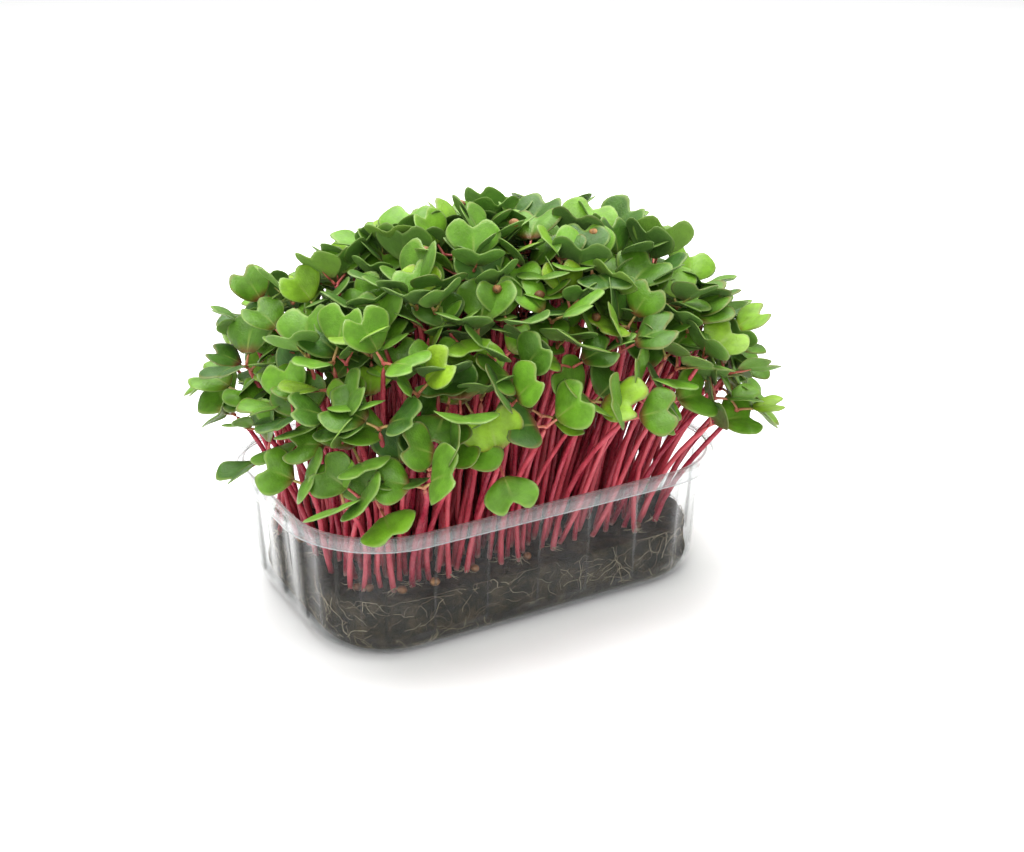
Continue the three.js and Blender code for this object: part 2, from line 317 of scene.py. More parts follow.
def finish_piece(bm, name, materials, nodes=(), subdivisions=0, thickness=0.0):
    """Turns a bmesh in millimetres into a placed piece in metres."""
    bmesh.ops.scale(bm, vec=(MM, MM, MM), verts=bm.verts)
    mesh = bpy.data.meshes.new(name)
    bm.to_mesh(mesh)
    bm.free()
    for material in materials:
        mesh.materials.append(material)
    mesh.shade_smooth()
    piece = bpy.data.objects.new(name, mesh)
    bpy.context.scene.collection.objects.link(piece)
    if thickness:
        solidify = piece.modifiers.new("thickness", "SOLIDIFY")
        solidify.thickness = thickness * MM
        solidify.offset = 0
        solidify.use_even_offset = True
    if subdivisions:
        rounding = piece.modifiers.new("rounding", "SUBSURF")
        rounding.levels = rounding.render_levels = subdivisions
    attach(piece, "root")
    if nodes:
        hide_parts(*nodes)
    return piece


def set_numbers(bm, verts, **values):
    """Writes one value into each named number of some points."""
    for name, value in values.items():
        layer = bm.verts.layers.float[name]
        for vert in verts:
            vert[layer] = value


def sweep(bm, path, radii, sides, material=0, span=(0, 1), **numbers):
    """A closed tube along a path. Its points carry the share of the way along that the span gives them."""
    path = [Vector(point) for point in path]
    ring = bmesh.ops.create_circle(bm, cap_ends=True, radius=1, segments=sides)["verts"]
    offsets = [vert.co.copy() for vert in ring]
    cap = ring[0].link_faces[0]
    made = [cap]
    frame_turn = Vector((0, 0, 1)).rotation_difference(path[1] - path[0])
    ahead = (path[1] - path[0]).normalized()
    order = list(ring)
    spoke = {vert: index for index, vert in enumerate(order)}
    for step, point in enumerate(path):
        if step > 0:
            grown = bmesh.ops.extrude_face_region(bm, geom=[cap], use_keep_orig=step == 1)["geom"]
            cap = next(item for item in grown if isinstance(item, bmesh.types.BMFace))
            lower = order
            order = [None] * sides
            for vert in cap.verts:
                twin = min(lower, key=lambda old: (old.co - vert.co).length_squared)
                order[spoke[twin]] = vert
            spoke = {vert: index for index, vert in enumerate(order)}
            nearby = path[min(step + 1, len(path) - 1)] - path[step - 1]
            frame_turn = ahead.rotation_difference(nearby) @ frame_turn
            ahead = nearby.normalized()
        for vert, offset in zip(order, offsets):
            vert.co = point + frame_turn @ (offset * radii[step])
        share = step / (len(path) - 1)
        set_numbers(bm, order, along=span[0] + (span[1] - span[0]) * share, **numbers)
        made += [face for vert in order for face in vert.link_faces]
    for face in set(made):
        face.material_index = material


# ------------------------------------------------------------------ material helpers
def add_node(tree, kind, inputs=None, **settings):
    """A shader node with its settings, and with each input set or linked."""
    made = tree.nodes.new(kind)
    for name, value in settings.items():
        setattr(made, name, value)
    for name, value in (inputs or {}).items():
        if isinstance(value, bpy.types.NodeSocket):
            tree.links.new(value, made.inputs[name])
        else:
            made.inputs[name].default_value = value
    return made


def calculate(tree, operation, first, second=0.0, clamp=False):
    """A number worked out from two others."""
    inputs = {0: first} if operation in ("ABSOLUTE", "FRACT") else {0: first, 1: second}
    return add_node(tree, "ShaderNodeMath", inputs, operation=operation, use_clamp=clamp).outputs[0]


def ramp(tree, value, low, high, from_low=0.0, from_high=1.0):
    """Runs smoothly from from_low to from_high as a value goes from low to high."""
    inputs = {"Value": value, "From Min": low, "From Max": high, "To Min": from_low, "To Max": from_high}
    return add_node(tree, "ShaderNodeMapRange", inputs, interpolation_type="SMOOTHSTEP").outputs[0]


def mix_colours(tree, factor, low, high, mode="MIX"):
    inputs = {MIX_FACTOR: factor, MIX_LOW: low, MIX_HIGH: high}
    return add_node(tree, "ShaderNodeMix", inputs, data_type="RGBA", blend_type=mode).outputs[MIX_RESULT]


def colour_ramp(tree, value, *stops):
    """A colour that runs through the stops, each a place and a colour."""
    made = add_node(tree, "ShaderNodeValToRGB", {0: value})
    elements = made.color_ramp.elements
    while len(elements) < len(stops):
        elements.new(0.5)
    for element, (place, colour) in zip(elements, stops):
        element.position = place
        element.color = colour
    return made.outputs[0]


def attribute(tree, name):
    return add_node(tree, "ShaderNodeAttribute", attribute_name=name).outputs["Fac"]


def grain(tree, scale, detail=3.0, roughness=0.55):
    """Noise in the object's own space, with a scale in waves per metre."""
    place = add_node(tree, "ShaderNodeTexCoord").outputs["Object"]
    inputs = {"Vector": place, "Scale": scale, "Detail": detail, "Roughness": roughness}
    return add_node(tree, "ShaderNodeTexNoise", inputs).outputs["Fac"]


def bump(tree, height, strength, distance):
    inputs = {"Height": height, "Strength": strength, "Distance": distance}
    return add_node(tree, "ShaderNodeBump", inputs).outputs["Normal"]


def new_material(name):
    """A material with an empty tree, and its output's surface socket."""
    made = bpy.data.materials.new(name)
    made.use_nodes = True
    made.node_tree.nodes.clear()
    output = made.node_tree.nodes.new("ShaderNodeOutputMaterial")
    return made, made.node_tree, output.inputs["Surface"]


def tint(colour, amount=1.0):
    return tuple(channel * amount for channel in colour[:3]) + (1.0,)


# ------------------------------------------------------------------ materials
def leaf_material(settings, name, under=False):
    """A seed leaf: its own green, a pale midrib, faint side veins and a lighter, sometimes red, margin."""
    made, tree, surface = new_material(name)
    across = calculate(tree, "ABSOLUTE", attribute(tree, "across"))
    along = attribute(tree, "along")
    blush = attribute(tree, "blush")
    green = colour_ramp(
        tree,
        attribute(tree, "tone"),
        (0.0, tint(settings.deep_green)),
        (0.35, tint(settings.leaf_green)),
        (0.8, tint(settings.leaf_green, 1.5)),
        (1.0, tint(settings.young_green)),
    )
    mottle = ramp(tree, grain(tree, 260, 4.0), 0.3, 0.7, 0.82, 1.16)
    green = add_node(tree, "ShaderNodeHueSaturation", {"Value": mottle, "Color": green}).outputs[0]
    towards_tip = ramp(tree, along, 0.9, 0.1, 0.0, 0.6)
    midrib = calculate(tree, "MULTIPLY", ramp(tree, across, 0.10, 0.02), towards_tip)
    outward = calculate(tree, "MULTIPLY", across, 1.7)
    slant = calculate(tree, "SUBTRACT", calculate(tree, "MULTIPLY", along, 4.2), outward)
    vein = calculate(tree, "ABSOLUTE", calculate(tree, "SUBTRACT", calculate(tree, "FRACT", slant), 0.5))
    vein = calculate(tree, "MULTIPLY", ramp(tree, vein, 0.12, 0.0), ramp(tree, across, 0.9, 0.3, 0.0, 0.08))
    veins = calculate(tree, "MAXIMUM", midrib, vein)
    colour = mix_colours(tree, veins, green, tint(settings.vein_green))
    rim = calculate(tree, "MAXIMUM", across, along)
    redness = ramp(tree, blush, 0.6, 0.95, 0.0, 0.8)
    margin = mix_colours(tree, redness, tint(settings.vein_green), tint(settings.blush_red))
    colour = mix_colours(tree, ramp(tree, rim, 0.88, 1.0, 0.0, 0.42), colour, margin)
    heart = calculate(tree, "MULTIPLY", ramp(tree, along, 0.3, 0.0), ramp(tree, blush, 0.2, 0.9, 0.15, 0.8))
    colour = mix_colours(tree, heart, colour, tint(settings.blush_red))
    if under:
        colour = mix_colours(tree, 0.45, colour, tint(settings.under_green))
    raised_veins = calculate(tree, "MULTIPLY", veins, 0.6 if under else -0.6)
    relief = calculate(tree, "ADD", raised_veins, grain(tree, 1700, 2.0))
    shared_normal = bump(tree, relief, 0.35, 0.0004)
    face = add_node(
        tree,
        "ShaderNodeBsdfPrincipled",
        {
            "Base Color": colour,
            "Roughness": ramp(tree, grain(tree, 500), 0.3, 0.7, 0.33, 0.47),
            "Specular IOR Level": 0.5,
            "Sheen Weight": 0.06,
            "Normal": shared_normal,
        },
    )
    glow = mix_colours(tree, 1.0, colour, tint(settings.through_green), "MULTIPLY")
    through = add_node(tree, "ShaderNodeBsdfTranslucent", {"Color": glow, "Normal": shared_normal})
    mix = add_node(tree, "ShaderNodeMixShader", {0: 0.22, 1: face.outputs[0], 2: through.outputs[0]})
    tree.links.new(mix.outputs[0], surface)
    return made


def stem_material(settings):
    """A stem: nearly white at the foot, then pink to magenta, with fine lengthwise streaks."""
    made, tree, surface = new_material("stem")
    along = attribute(tree, "along")
    depth = attribute(tree, "tone")
    red = mix_colours(tree, depth, tint(settings.stem_pink), tint(settings.stem_magenta))
    streak = ramp(tree, grain(tree, 900, 4.0), 0.35, 0.65, 0.0, 0.35)
    red = mix_colours(tree, streak, red, tint(settings.stem_pink))
    foot = ramp(tree, along, 0.09, 0.01, 0.0, 0.6)
    colour = mix_colours(tree, foot, red, tint(settings.stem_foot))
    pale = ramp(tree, attribute(tree, "blush"), 0.8, 0.2, 0.2, 0.85)
    top = calculate(tree, "MULTIPLY", ramp(tree, along, 0.72, 0.96), pale)
    colour = mix_colours(tree, top, colour, tint(settings.vein_green))
    face = add_node(
        tree,
        "ShaderNodeBsdfPrincipled",
        {
            "Base Color": colour,
            "Roughness": ramp(tree, grain(tree, 1200), 0.3, 0.7, 0.26, 0.42),
            "Specular IOR Level": 0.5,
            "Normal": bump(tree, grain(tree, 1500, 3.0), 0.2, 0.0003),
        },
    )
    through = add_node(tree, "ShaderNodeBsdfTranslucent", {"Color": colour})
    mix = add_node(tree, "ShaderNodeMixShader", {0: 0.08, 1: face.outputs[0], 2: through.outputs[0]})
    tree.links.new(mix.outputs[0], surface)
    return made


def film_material(settings):
    """Clear film: a faint milky haze, a painted highlight along the rim's bends, a painted dark line on each
    flute's turned side for its shade and reflection, and a mirror gloss at a low angle.
    """
    made, tree, surface = new_material("clear_film")
    clear = add_node(tree, "ShaderNodeBsdfTransparent", {"Color": tint(settings.film_tint)})
    # This milky layer also carries the painted highlight along the rim's bends
    haze = add_node(
        tree,
        "ShaderNodeBsdfPrincipled",
        {"Base Color": tint(settings.haze_and_highlight_colour), "Roughness": 0.3, "Specular IOR Level": 0.3},
    )
    shade = add_node(
        tree,
        "ShaderNodeBsdfPrincipled",
        {"Base Color": tint(settings.painted_line_colour), "Roughness": 0.35, "Specular IOR Level": 0.3},
    )
    cloud = ramp(tree, grain(tree, 60, 4.0), 0.35, 0.75, 0.5, 1.7)
    milky = calculate(tree, "MULTIPLY", cloud, settings.haze)
    # Painted highlight: the haze is raised along the rim's bends
    edge = calculate(tree, "MULTIPLY", attribute(tree, "edge"), settings.rim_highlight)
    amount = calculate(tree, "ADD", milky, edge, clamp=True)
    body = add_node(tree, "ShaderNodeMixShader", {0: amount, 1: clear.outputs[0], 2: haze.outputs[0]})
    # Painted shade and reflection: a dark line on each flute's turned side
    painted_line_shade = calculate(tree, "MULTIPLY", attribute(tree, "painted_line_shade"), settings.painted_line_shade)
    body = add_node(tree, "ShaderNodeMixShader", {0: painted_line_shade, 1: body.outputs[0], 2: shade.outputs[0]})
    wave = bump(tree, grain(tree, 45, 2.0), 0.15, 0.0005)
    gloss = add_node(tree, "ShaderNodeBsdfGlossy", {"Color": (1, 1, 1, 1), "Roughness": 0.06, "Normal": wave})
    glancing = add_node(tree, "ShaderNodeLayerWeight", {"Blend": 0.5, "Normal": wave}).outputs["Facing"]
    shine = calculate(tree, "ADD", calculate(tree, "POWER", glancing, 5.0), 0.01, clamp=True)
    film = add_node(tree, "ShaderNodeMixShader", {0: shine, 1: body.outputs[0], 2: gloss.outputs[0]})
    tree.links.new(film.outputs[0], surface)
    return made


def peat_material(settings):
    """Moist peat: near-black crumbs with brown fibres and a few pale specks."""
    made, tree, surface = new_material("peat")
    coarse = grain(tree, 190, 6.0, 0.7)
    fine = grain(tree, 1400, 5.0, 0.7)
    dryness = ramp(tree, coarse, 0.4, 0.68)
    speck = ramp(tree, grain(tree, 3100, 2.0), 0.7, 0.76, 0.0, 0.7)
    colour = mix_colours(tree, dryness, tint(settings.wet_peat), tint(settings.dry_peat))
    colour = mix_colours(tree, ramp(tree, fine, 0.6, 0.72, 0.0, 0.7), colour, tint(settings.fibre_brown))
    colour = mix_colours(tree, speck, colour, tint(settings.root_pale))
    relief = calculate(tree, "ADD", coarse, calculate(tree, "MULTIPLY", fine, 0.6))
    face = add_node(
        tree,
        "ShaderNodeBsdfPrincipled",
        {
            "Base Color": colour,
            "Roughness": ramp(tree, coarse, 0.3, 0.7, 0.55, 0.95),
            "Specular IOR Level": 0.35,
            "Normal": bump(tree, relief, 0.9, 0.002),
        },
    )
    tree.links.new(face.outputs[0], surface)
    return made


def root_material(settings):
    """Fine roots: off-white where young, tan where old."""
    made, tree, surface = new_material("rootlet")
    age = attribute(tree, "tone")
    colour = mix_colours(tree, age, tint(settings.root_pale), tint(settings.root_tan))
    dirt = ramp(tree, grain(tree, 700, 3.0), 0.45, 0.7, 0.0, 0.75)
    colour = mix_colours(tree, dirt, colour, tint(settings.dry_peat, 2.0))
    face = add_node(tree, "ShaderNodeBsdfPrincipled", {"Base Color": colour, "Roughness": 0.6})
    tree.links.new(face.outputs[0], surface)
    return made


def husk_material(settings):
    """A dry seed coat: tan to red-brown, darker at the scar, with a fine wrinkled skin."""
    made, tree, surface = new_material("seed_coat")
    tone = attribute(tree, "tone")
    colour = mix_colours(tree, tone, tint(settings.husk_tan), tint(settings.husk_brown))
    patch = ramp(tree, grain(tree, 420, 4.0), 0.4, 0.65, 0.0, 0.6)
    colour = mix_colours(tree, patch, colour, tint(settings.husk_brown, 0.6))
    scar = ramp(tree, attribute(tree, "along"), 0.75, 1.0, 0.0, 0.8)
    colour = mix_colours(tree, scar, colour, tint(settings.husk_brown, 0.3))
    face = add_node(
        tree,
        "ShaderNodeBsdfPrincipled",
        {
            "Base Color": colour,
            "Roughness": ramp(tree, grain(tree, 900), 0.3, 0.7, 0.4, 0.65),
            "Normal": bump(tree, grain(tree, 1900, 4.0), 0.5, 0.0004),
        },
    )
    tree.links.new(face.outputs[0], surface)
    return made


# ------------------------------------------------------------------ settings
def colour_setting(name, description, default):
    """A colour that a user can set."""
    return FloatVectorProperty(
        name=name, description=description, default=default, subtype="COLOR", min=0, max=1
    )


def share_setting(name, description, default):
    """A share from 0 to 1 that a user can set."""
    return FloatProperty(name=name, description=description, default=default, max=1, subtype="FACTOR")


class PunnetSettings(bpy.types.PropertyGroup):
    """The clear tray."""

    film: FloatProperty(name="Film", description="Thickness of the film", default=0.0004, unit="LENGTH")
    haze: share_setting("Haze", "How milky the film is", 0.02)
    # Painted highlight: how much whiter the rim's bends are painted
    rim_highlight: share_setting("Rim haze", "How milky the rim is", 0.4)
    # Painted shade: how dark the painted line on each flute's turned side is
    painted_line_shade: share_setting("Groove", "How dark a flute's side is", 0.3)
    film_tint: colour_setting("Film tint", "Light that passes the film", (0.955, 0.96, 0.96))
    # The film's milky haze, and also the colour of the painted highlight along the rim's bends
    haze_and_highlight_colour: colour_setting("Haze", "The milky part of the film", (0.60, 0.61, 0.62))
    # Colour of the painted dark line that stands in for shade and reflection on each flute's turned side
    painted_line_colour: colour_setting("Groove colour", "The turned side of each flute", (0.06, 0.06, 0.055))


class MediumSettings(bpy.types.PropertyGroup):
    """The peat, its roots and its crumbs."""

    roots: IntProperty(name="Roots", description="Roots that lie against the film", default=300, min=0)
    crumbs: IntProperty(name="Crumbs", description="Loose crumbs on the peat", default=600, min=0)
    wet_peat: colour_setting("Wet peat", "Peat in the hollows", (0.024, 0.021, 0.015))
    dry_peat: colour_setting("Dry peat", "Peat on the crumbs", (0.11, 0.092, 0.062))
    fibre_brown: colour_setting("Fibre", "Fibres in the peat", (0.24, 0.18, 0.105))
    root_pale: colour_setting("Young root", "Young roots", (0.50, 0.44, 0.32))
    root_tan: colour_setting("Old root", "Old roots", (0.16, 0.12, 0.07))


class SproutSettings(bpy.types.PropertyGroup):
    """The seedlings and their seed coats."""

    sprouts: IntProperty(name="Sprouts", description="Sprouts in the whole punnet", default=350, min=54)
    stem_radius: FloatProperty(name="Stem radius", description="Halfway up", default=0.00092, unit="LENGTH")
    thickness: FloatProperty(
        name="Leaf thickness", description="At the midrib", default=0.0006, unit="LENGTH"
    )
    deep_green: colour_setting("Deep green", "The darkest leaves", (0.05, 0.14, 0.016))
    leaf_green: colour_setting("Leaf green", "Most leaves", (0.125, 0.27, 0.022))
    young_green: colour_setting("Young green", "The brightest leaves", (0.30, 0.48, 0.03))
    under_green: colour_setting("Underside", "The underside of a leaf", (0.25, 0.38, 0.15))
    through_green: colour_setting("Through light", "Light that shines through a leaf", (1.0, 1.0, 0.25))
    vein_green: colour_setting("Veins", "Midrib, veins and margin", (0.36, 0.46, 0.12))
    blush_red: colour_setting("Blush", "Red at the heart and margin", (0.26, 0.05, 0.045))
    stem_pink: colour_setting("Pink stem", "The palest stems", (0.66, 0.12, 0.15))
    stem_magenta: colour_setting("Magenta stem", "The darkest stems", (0.30, 0.012, 0.045))
    stem_foot: colour_setting("Stem foot", "Just above the medium", (0.78, 0.62, 0.52))
    husk_tan: colour_setting("Tan husk", "The palest seed coats", (0.50, 0.27, 0.10))
    husk_brown: colour_setting("Brown husk", "The darkest seed coats", (0.17, 0.07, 0.035))


class StageSettings(bpy.types.PropertyGroup):
    """Floor, light and camera."""

    azimuth: FloatProperty(
        name="Azimuth", description="Round the punnet", default=math.radians(-29), unit="ROTATION"
    )
    elevation: FloatProperty(
        name="Elevation", description="Above the floor", default=math.radians(23.6), unit="ROTATION"
    )
    distance: FloatProperty(
        name="Distance", description="To the middle of the punnet", default=0.45, unit="LENGTH"
    )
    lens: FloatProperty(name="Lens", description="Focal length in millimetres", default=51)
    floor_colour: colour_setting("Floor", "The pale floor", (0.97, 0.97, 0.97))


# ------------------------------------------------------------------ the punnet
def flute_at(share):
    """How far a flute is pressed in, from 0 to 1, and whether this is its turned side, which gets a painted
    dark line.
    """
    place = share * FLUTES % 1
    if place < 0.1:
        step = 1 - place / 0.1
    elif place < 0.5:
        step = 0.0
    elif place < 0.6:
        step = (place - 0.5) / 0.1
    else:
        step = 1.0
    # The turned side is where a painted dark line stands in for the shade and reflection on each flute's step
    turned = 1.0 if 0.52 < place < 0.58 else 0.0
    return step * step * (3 - 2 * step), turned


def arc_rows(centre_inset, centre_z, radius, start, end, steps, flute=0, edge=0):
    """Rows of a profile round an arc, with angles in degrees, from the way into the tray and up."""
    rows = []
    for step in range(steps + 1):
        angle = math.radians(start + (end - start) * step / steps)
        inset = centre_inset + radius * math.cos(angle)
        rows.append((inset, centre_z + radius * math.sin(angle), flute, edge))
    return rows


def punnet_rows():
    """The film's middle from the floor to the end of the lip: inset, height, flute share and edge share, which
    paints a highlight along the rim's bends.
    """
    middle = WALL / 2

    def lean(z):
        return FOOT_INSET - DRAFT * z / HEIGHT

    foot = arc_rows(FOOT_INSET + middle + FOOT_RADIUS, FOOT_RADIUS, FOOT_RADIUS - middle, 270, 180, 6)
    wall = [
        (lean(FOOT_RADIUS + 0.8) + middle, FOOT_RADIUS + 0.8, 0.5, 0),
        (lean(FOOT_RADIUS + 2) + middle, FOOT_RADIUS + 2, 1, 0),
        (lean(18) + middle, 18, 1, 0),
        (lean(HEIGHT - 6) + middle, HEIGHT - 6, 1, 0),
        (lean(HEIGHT - 5) + middle, HEIGHT - 5, 0.6, 0.1),
        (lean(HEIGHT - 4) + middle, HEIGHT - 4, 0, 0),
    ]
    # The edge numbers paint a highlight along the rim's bends, strongest at the flange's outer edge and the
    # lip's end
    shoulder = arc_rows(RIM_WIDTH + middle - 1.0, HEIGHT - middle - 1.0, 1.0, 0, 90, 4, edge=0.3)
    shoulder[-1] = (*shoulder[-1][:3], 1.6)
    flange = [(RIM_WIDTH + middle - 1.4, HEIGHT - middle, 0, 0.3)]
    bend = arc_rows(middle + 0.7, HEIGHT - middle - 0.7, 0.7, 90, 180, 4, edge=0.3)
    lip = [
        (middle, HEIGHT - 1.4, 0, 0.3),
        (middle, HEIGHT - LIP_DEPTH + 0.35, 0, 0.4),
        (middle, HEIGHT - LIP_DEPTH + 0.05, 0, 1.6),
    ]
    return foot + wall + shoulder + flange + bend + lip


def ring_shares(corners, repeats):
    return [(repeat + corner) / repeats for repeat in range(repeats) for corner in corners]


def grow_rings(bm, rows, shares, place):
    """Extrudes a capped ring row by row. place(share, row) gives each point and its named numbers."""
    ring = bmesh.ops.create_circle(bm, cap_ends=True, radius=1, segments=len(shares))["verts"]
    cap = ring[0].link_faces[0]
    share_layer = bm.verts.layers.float["share"]
    for vert, share in zip(ring, shares):
        vert[share_layer] = share
    edges = list(cap.edges)
    verts = list(ring)
    for index, row in enumerate(rows):
        if index > 0:
            grown = bmesh.ops.extrude_edge_only(bm, edges=edges)["geom"]
            verts = [item for item in grown if isinstance(item, bmesh.types.BMVert)]
            edges = [item for item in grown if isinstance(item, bmesh.types.BMEdge)]
        for vert in verts:
            point, numbers = place(vert[share_layer], row)
            vert.co = point
            set_numbers(bm, [vert], **numbers)
    return edges


def punnet_point(share, row):
    inset, z, flute, edge = row
    centre, outward = plan_at(share)
    pressed, turned = flute_at(share)
    across = centre + outward * (CORNER_RADIUS - inset - flute * FLUTE_DEPTH * pressed)
    # Both numbers paint light: edge a highlight along the rim's bends, the other a dark line on each flute's
    # turned side
    return Vector((across.x, across.y, z)), {"edge": edge, "painted_line_shade": turned * flute}


class MakePunnet(bpy.types.Operator):
    """Forms the clear fluted tray as one sheet of film"""

    bl_idname = "microgreens.make_punnet"
    bl_label = "Punnet"

    def execute(self, context):
        settings = context.scene.punnet_settings
        # The last two numbers carry painted light: the rim's highlight and the flutes' dark lines
        bm = new_bmesh("share", "edge", "painted_line_shade")
        shares = ring_shares((0, 0.034, 0.067, 0.1, 0.3, 0.5, 0.534, 0.567, 0.6, 0.8), FLUTES)
        grow_rings(bm, punnet_rows(), shares, punnet_point)
        bmesh.ops.recalc_face_normals(bm, faces=bm.faces)
        material = film_material(settings)
        finish_piece(bm, "punnet_film", [material], ["punnet"], thickness=settings.film / MM)
        return {"FINISHED"}


# ------------------------------------------------------------------ the growing medium
def medium_side(z):
    """How far inside the rim's outline the peat's side lies at a height."""
    side = FOOT_INSET + WALL + 0.1
    if z < FOOT_RADIUS + WALL:
        below = (FOOT_RADIUS + WALL - z) / FOOT_RADIUS
        return side + FOOT_RADIUS * (1 - math.sqrt(max(0, 1 - min(1, below) ** 2)))
    return side + FLUTE_DEPTH * min(1, (z - FOOT_RADIUS - WALL) / 2)


def drawn_in(point):
    """A point of the peat's side, moved in at the two ends, where the block has shrunk from the film."""
    point.x *= 1 - END_GAP / HALF_X * abs(point.x / HALF_X) ** 5
    return point


def peat_rows():
    """The peat's profile, from its underside up its side and over its top, as inset and height."""
    bottom = WALL + 0.05
    rows = [(medium_side(bottom) + 2, bottom)]
    rows += [(medium_side(z), z) for z in np.linspace(bottom + 0.3, MEDIUM_TOP - 1.6, 16)]
    edge = medium_side(MEDIUM_TOP)
    rows += [(edge + 0.5, MEDIUM_TOP - 0.7), (edge + 1.5, MEDIUM_TOP - 0.1)]
    rows += [(inset, MEDIUM_TOP) for inset in np.linspace(edge + 3, CORNER_RADIUS - 0.5, 12)]
    return rows


def peat_point(share, row):
    inset, z = row
    centre, outward = plan_at(share)
    across = drawn_in(centre + outward * (CORNER_RADIUS - inset))
    place = Vector((across.x, across.y, z))
    rough = noise.fractal(place * 0.35, 0.8, 2.2, 4)
    on_top = z > MEDIUM_TOP - 0.5
    pushed = max(0.0, 0.45 + rough * 0.9) * min(1, 0.2 + z / 12)
    place.z -= pushed * (1.0 if on_top else 0)
    across = across - outward * (0 if on_top else pushed * 0.7)
    return Vector((across.x, across.y, place.z)), {}


class MakeMedium(bpy.types.Operator):
    """Presses the block of peat"""

    bl_idname = "microgreens.make_medium"
    bl_label = "Growing medium"

    def execute(self, context):
        bm = new_bmesh("share")
        edges = grow_rings(bm, peat_rows(), ring_shares((0, 0.5), 140), peat_point)
        bmesh.ops.holes_fill(bm, edges=edges, sides=len(edges))
        bmesh.ops.recalc_face_normals(bm, faces=bm.faces)
        material = peat_material(context.scene.medium_settings)
        finish_piece(bm, "peat", [material], ["growing_medium"])
        return {"FINISHED"}


def root_path(dice):
    """A root that wanders down and along between the peat and the film."""
    share = dice(0, 1)
    z = dice(5, MEDIUM_TOP - 1)
    heading = dice(0, 2 * math.pi)
    path = []
    for _ in range(int(dice(7, 16))):
        centre, outward = plan_at(share % 1)
        across = drawn_in(centre + outward * (CORNER_RADIUS - medium_side(z) - dice(0.05, 0.3)))
        path.append((across.x, across.y, z))
        heading += dice(-0.75, 0.75)
        share += 0.0042 * math.cos(heading)
        z = min(MEDIUM_TOP - 0.5, max(2.5, z + 1.5 * math.sin(heading)))
    return path


def outer_feet(count):
    """The feet that stand near the film."""
    return [(x, y) for x, y in feet(count) if inset_at(x, y) < OUTER_INSET]


def hair_path(x, y, dice):
    """A root hair that leaves a stem's foot and lies down on the peat."""
    heading = dice(0, 2 * math.pi)
    step = dice(0.6, 1.1)
    path = []
    for height in (0.9, 0.5, 0.15, 0.1, 0.05):
        path.append((x, y, MEDIUM_TOP + height))
        heading += dice(-0.5, 0.5)
        x += step * math.cos(heading)
        y += step * math.sin(heading)
    return path


class MakeRoots(bpy.types.Operator):
    """Lays the fine roots that show through the film, and the root hairs at the outer stems' feet"""

    bl_idname = "microgreens.make_roots"
    bl_label = "Roots"

    def execute(self, context):
        settings = context.scene.medium_settings
        bm = new_bmesh("along", "tone")
        dice = dice_of(ROOT_SEED)
        for _ in range(settings.roots):
            path = root_path(dice)
            thick = dice(0.06, 0.15)
            radii = [thick * (1 - 0.6 * step / len(path)) for step in range(len(path))]
            sweep(bm, path, radii, 4, tone=dice(0, 1))
        for x, y in outer_feet(context.scene.sprout_settings.sprouts):
            for _ in range(HAIRS_PER_FOOT):
                sweep(bm, hair_path(x, y, dice), (0.2, 0.15, 0.11, 0.08, 0.04), 4, tone=dice(0, 0.3))
        bmesh.ops.recalc_face_normals(bm, faces=bm.faces)
        finish_piece(bm, "roots", [root_material(settings)])
        return {"FINISHED"}


class MakeCrumbs(bpy.types.Operator):
    """Scatters loose crumbs over the peat"""

    bl_idname = "microgreens.make_crumbs"
    bl_label = "Peat crumbs"

    def execute(self, context):
        settings = context.scene.medium_settings
        bm = new_bmesh("tone")
        dice = dice_of(CRUMB_SEED)
        scattered = 0
        while scattered < settings.crumbs:
            x, y = dice(-HALF_X, HALF_X), dice(-HALF_Y, HALF_Y)
            size = dice(0.3, 0.9)
            if inset_at(x, y) < WALL_INSET + size + 0.6:
                continue
            crumb = bmesh.ops.create_icosphere(bm, subdivisions=1, radius=size)["verts"]
            bmesh.ops.scale(bm, vec=(dice(0.7, 1.4), dice(0.7, 1.4), dice(0.5, 0.9)), verts=crumb)
            turn = Matrix.Rotation(dice(0, math.pi), 3, "Z")
            bmesh.ops.rotate(bm, matrix=turn, verts=crumb)
            bmesh.ops.translate(bm, vec=(x, y, MEDIUM_TOP - 0.45 + size * 0.15), verts=crumb)
            scattered += 1
        finish_piece(bm, "peat_crumbs", [peat_material(settings)])
        return {"FINISHED"}


# ------------------------------------------------------------------ the sprouts
LEAF_TOP, LEAF_UNDER, STEM = 0, 1, 2
ROOTED = 2.2  # how deep a stem stands in the peat
STALK_START = 0.8  # "along" runs from 0 at a stem's foot to this at its crown, and to 1 on the stalks
STAND_TOLERANCE = 0.0035
BUNCH = 8
COLUMN = 24  # the sprouts between are bunched by columns this wide
HUSKS_CAUGHT = 7
HUSK_HALF = Vector((1.75, 1.4, 1.26))
HUSK_ASIDE = 2.4


